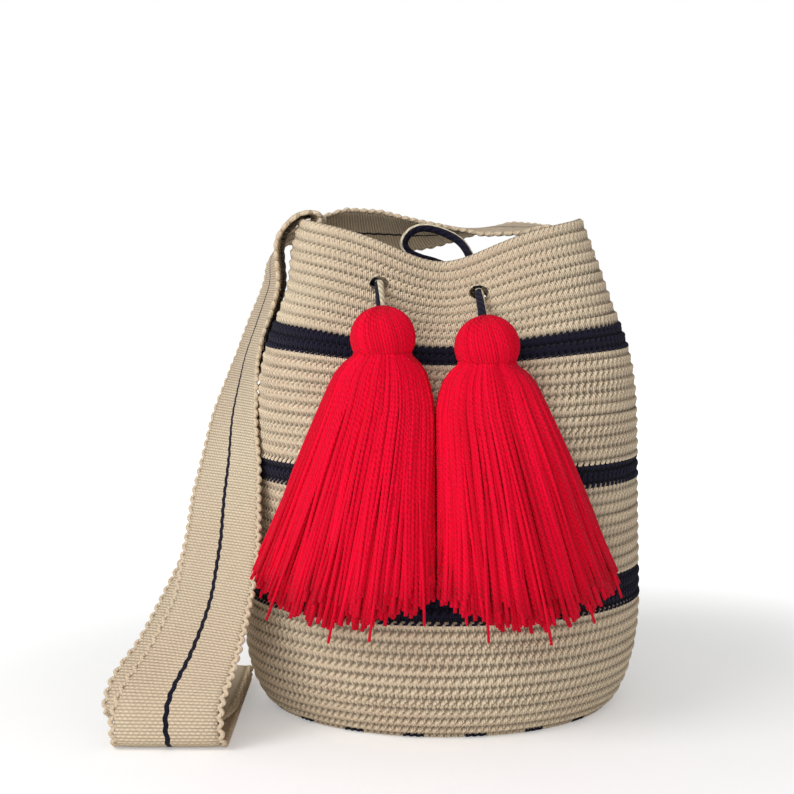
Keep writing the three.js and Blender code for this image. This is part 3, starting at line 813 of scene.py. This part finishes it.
def makeTassel(side, lean):
    head = headCentres[side]
    level = head[2]
    neck = tassel["neckRadius"]
    neckAngle = math.pi - math.asin(neck / tassel["headRadius"])
    neckTop = level + tassel["headRadius"] * math.cos(neckAngle)
    neckFoot = neckTop - tassel["neckTall"]
    start = neckFoot + tassel["overlap"]
    paths, radii, tones = [], [], []

    def keep(path, radius, tone):
        paths.append(path * mm)
        radii.append(radius * mm)
        tones.append(tone)

    # head: lengths of yarn over the top, gathered into the neck
    for k in range(tassel["headStrands"]):
        turn = 2 * math.pi * k / tassel["headStrands"]
        bow = np.linspace(0.05, neckAngle + 0.05, 14)
        wide = tassel["headRadius"] - 0.55 + rng.normal(0, 0.12)
        swirl = turn + tassel["headTurn"] * (bow - bow[0])
        ring = np.sin(bow) * wide
        x, y = head[0] + ring * np.cos(swirl), head[1] + ring * np.sin(swirl)
        path = np.stack([x, y, level + np.cos(bow) * wide], 1)
        keep(path, np.clip(math.pi / tassel["headStrands"] * ring * 1.12, 0.3, 1.2), rng.uniform(0.35, 0.95))

    # skirt: each length leaves the neck and fans out over the wall behind it
    def lay(around, depth, length):
        down = np.linspace(0, 1, tassel["steps"]) ** 1.6
        hem = tassel["hem"] - 2 + tassel["hemCurve"] * math.cos(around) ** 2
        z = start + (hem - start) * down * length
        drop = np.clip((start - z) / (start - tassel["hem"]), 0, 1.2)
        early = np.clip(drop / tassel["puffDrop"], 0, 1)
        puff = early * (2 - early)
        outer = neck + tassel["puff"] * puff + (tassel["outer"] - neck - tassel["puff"]) * drop
        inner = neck + (tassel["inner"] - neck) * (0.55 * puff + 0.45 * np.clip(drop / 0.2, 0, 1))
        x = head[0] + lean * (outer - inner) / 2 + (outer + inner) / 2 * np.cos(around)
        thick = 2 * neck + (tassel["thick"] - 2 * neck) * np.clip(drop / 0.4, 0, 1)
        height = np.maximum(z, tassel["lowest"])
        back = np.minimum(frontOfWall(x, height) - 1.4, -tassel["reach"]) - 1.3
        forward = -math.sin(around)
        bulge = (0.3 + 0.7 * forward) * depth if forward > 0 else 0
        wideY = back - np.maximum(bulge * thick - tassel["clear"], 0)
        ringX = head[0] + (neck + 1.0) * depth * np.cos(around)
        ringY = head[1] + (neck + 1.0) * depth * np.sin(around)
        x = ringX + (x - ringX) * np.clip(drop / 0.03, 0, 1)
        y = ringY + (wideY - ringY) * ease(drop, 0, 0.26)
        y = np.minimum(y, frontOfWall(x, height) - tassel["clear"])
        # every length hangs nearly straight, with one slow bend of its own
        bend = rng.normal(0, 1.3) * np.sin(down * math.pi * rng.uniform(0.8, 1.7))
        drift = rng.normal(0, 1.9) * down ** 1.5
        x = x + (bend + drift) * down ** 0.5
        y = y - np.abs(rng.normal(0, 0.5)) * down
        return np.stack([x, y, z], 1)

    full = np.full(tassel["steps"], tassel["yarn"])
    for around, bow in tassel["strays"]:
        path = lay(around if lean > 0 else -math.pi - around, 1.05, 1.06)
        wave = np.sin(np.linspace(0, 5, tassel["steps"]))
        path[:, 0] += bow * np.linspace(0, 1, tassel["steps"]) ** 2 * wave
        keep(path, full * 0.7, rng.uniform(0.4, 1.0))
    limit = head[0] - lean * tassel["inner"]  # neither skirt crosses into the other
    for count, shallow, deep, sign, shortest, longest in tassel["layers"]:
        for k in range(count):
            around = sign * math.pi * (k + rng.uniform(0.2, 0.8)) / count
            path = lay(around, rng.uniform(shallow, deep), rng.uniform(shortest, longest))
            path[:, 0] = np.maximum(path[:, 0], limit) if lean > 0 else np.minimum(path[:, 0], limit)
            keep(path, full, rng.uniform(0.1, 1.0))
    return tubes("yarn_" + side, paths, radii, 5, tones), neckTop, neckFoot


redYarn = yarnFinish("redYarn", srgb(212, 0, 36), srgb(255, 4, 54), 3.4)
for side, lean in (("left", -1), ("right", 1)):
    yarn, neckTop, neckFoot = makeTassel(side, lean)
    head = headCentres[side]
    turn = np.linspace(0, 2 * math.pi * tassel["tieTurns"], 70)
    coil = np.stack([head[0] + tassel["tieReach"] * np.cos(turn), head[1] + tassel["tieReach"] * np.sin(turn),
                     np.linspace(neckFoot + 0.9, neckTop - 0.7, 70)], 1)
    tie = tubes("neck_tie_" + side, [coil * mm], [tassel["tieYarn"] * mm], 6)
    for piece, node in ((yarn, "tassel_" + side), (tie, "tassel_tie_" + side)):
        dress(piece, redYarn)
        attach(piece, side + "_tassel")
        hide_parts(node)
print("tassels made")


# sewing thread keeps its CAD shape
thread = Finish("sewingThread", Roughness=0.9, Sheen_Weight=0.2)
threadFibre = thread.noise(900.0, 3.0, thread.place())
thread.feed(Base_Color=thread.mix(threadFibre, creamDeep, creamTone))
thread.bump(threadFibre, 0.0004)
for side in ("left", "right"):
    dress(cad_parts["strap_seam_" + side], thread)


# stage and light
stage = {"world": 0.44, "floorTone": 0.9, "floorGlow": 0.30, "farGlow": 0.8, "near": 0.22, "far": 0.70}
lights = {
    "keyLight": {"place": (-1.4, -1.3, 1.5), "size": 1.5, "power": 23.0},
    "fillLight": {"place": (-0.5, -2.2, 0.35), "size": 1.4, "power": 18.0},
}
lightAim = (0, 0, 0.12)
clearSelection()
bpy.ops.mesh.primitive_plane_add(size=12, location=(0, 0, 0))
floor = bpy.context.object
floor.name = "floor"
# the floor looks white to the camera, more so away from the bag, and keeps the shadow
paper = Finish("palePaper", Roughness=0.9, Specular_IOR_Level=0.0, Base_Color=(stage["floorTone"],) * 3)
seen = paper.put("LightPath", out="Is Camera Ray")
distance = paper.put("VectorMath", {"operation": "LENGTH"}, {0: paper.place()}, out="Value")
lift = paper.put("MapRange", {"interpolation_type": "SMOOTHSTEP"}, {
    "Value": distance, "From Min": stage["near"], "From Max": stage["far"],
    "To Min": stage["floorGlow"], "To Max": stage["farGlow"]})
glow = paper.put("Emission", inputs={"Color": (1, 1, 1), "Strength": seen * lift})
both = paper.put("AddShader", inputs={0: Wire(paper.tree, paper.surface.outputs[0]), 1: glow})
plug(paper.tree, paper.tree.nodes["Material Output"].inputs["Surface"], both)
dress(floor, paper)

world = bpy.data.worlds.new("studio")
bpy.context.scene.world = world
world.use_nodes = True
sky = world.node_tree
direct = addNode(sky, "LightPath", out="Is Camera Ray")
for ray in ("Is Glossy Ray", "Is Transmission Ray"):
    direct = direct.math("MAXIMUM", addNode(sky, "LightPath", out=ray))
plug(sky, sky.nodes["Background"].inputs["Strength"], direct * (1 - stage["world"]) + stage["world"])
plug(sky, sky.nodes["Background"].inputs["Color"], (1, 1, 1))
for name, light in lights.items():
    data = bpy.data.lights.new(name, "AREA")
    data.shape = "DISK"
    data.size = light["size"]
    data.energy = light["power"]
    lamp = bpy.data.objects.new(name, data)
    lamp.location = light["place"]
    x, y, z = np.subtract(lightAim, light["place"])
    lamp.rotation_euler = (math.atan2(math.hypot(x, y), -z), 0, math.atan2(y, x) - math.pi / 2)
    bpy.context.collection.objects.link(lamp)
bpy.context.scene.view_settings.view_transform = "Standard"

print("scene ready")
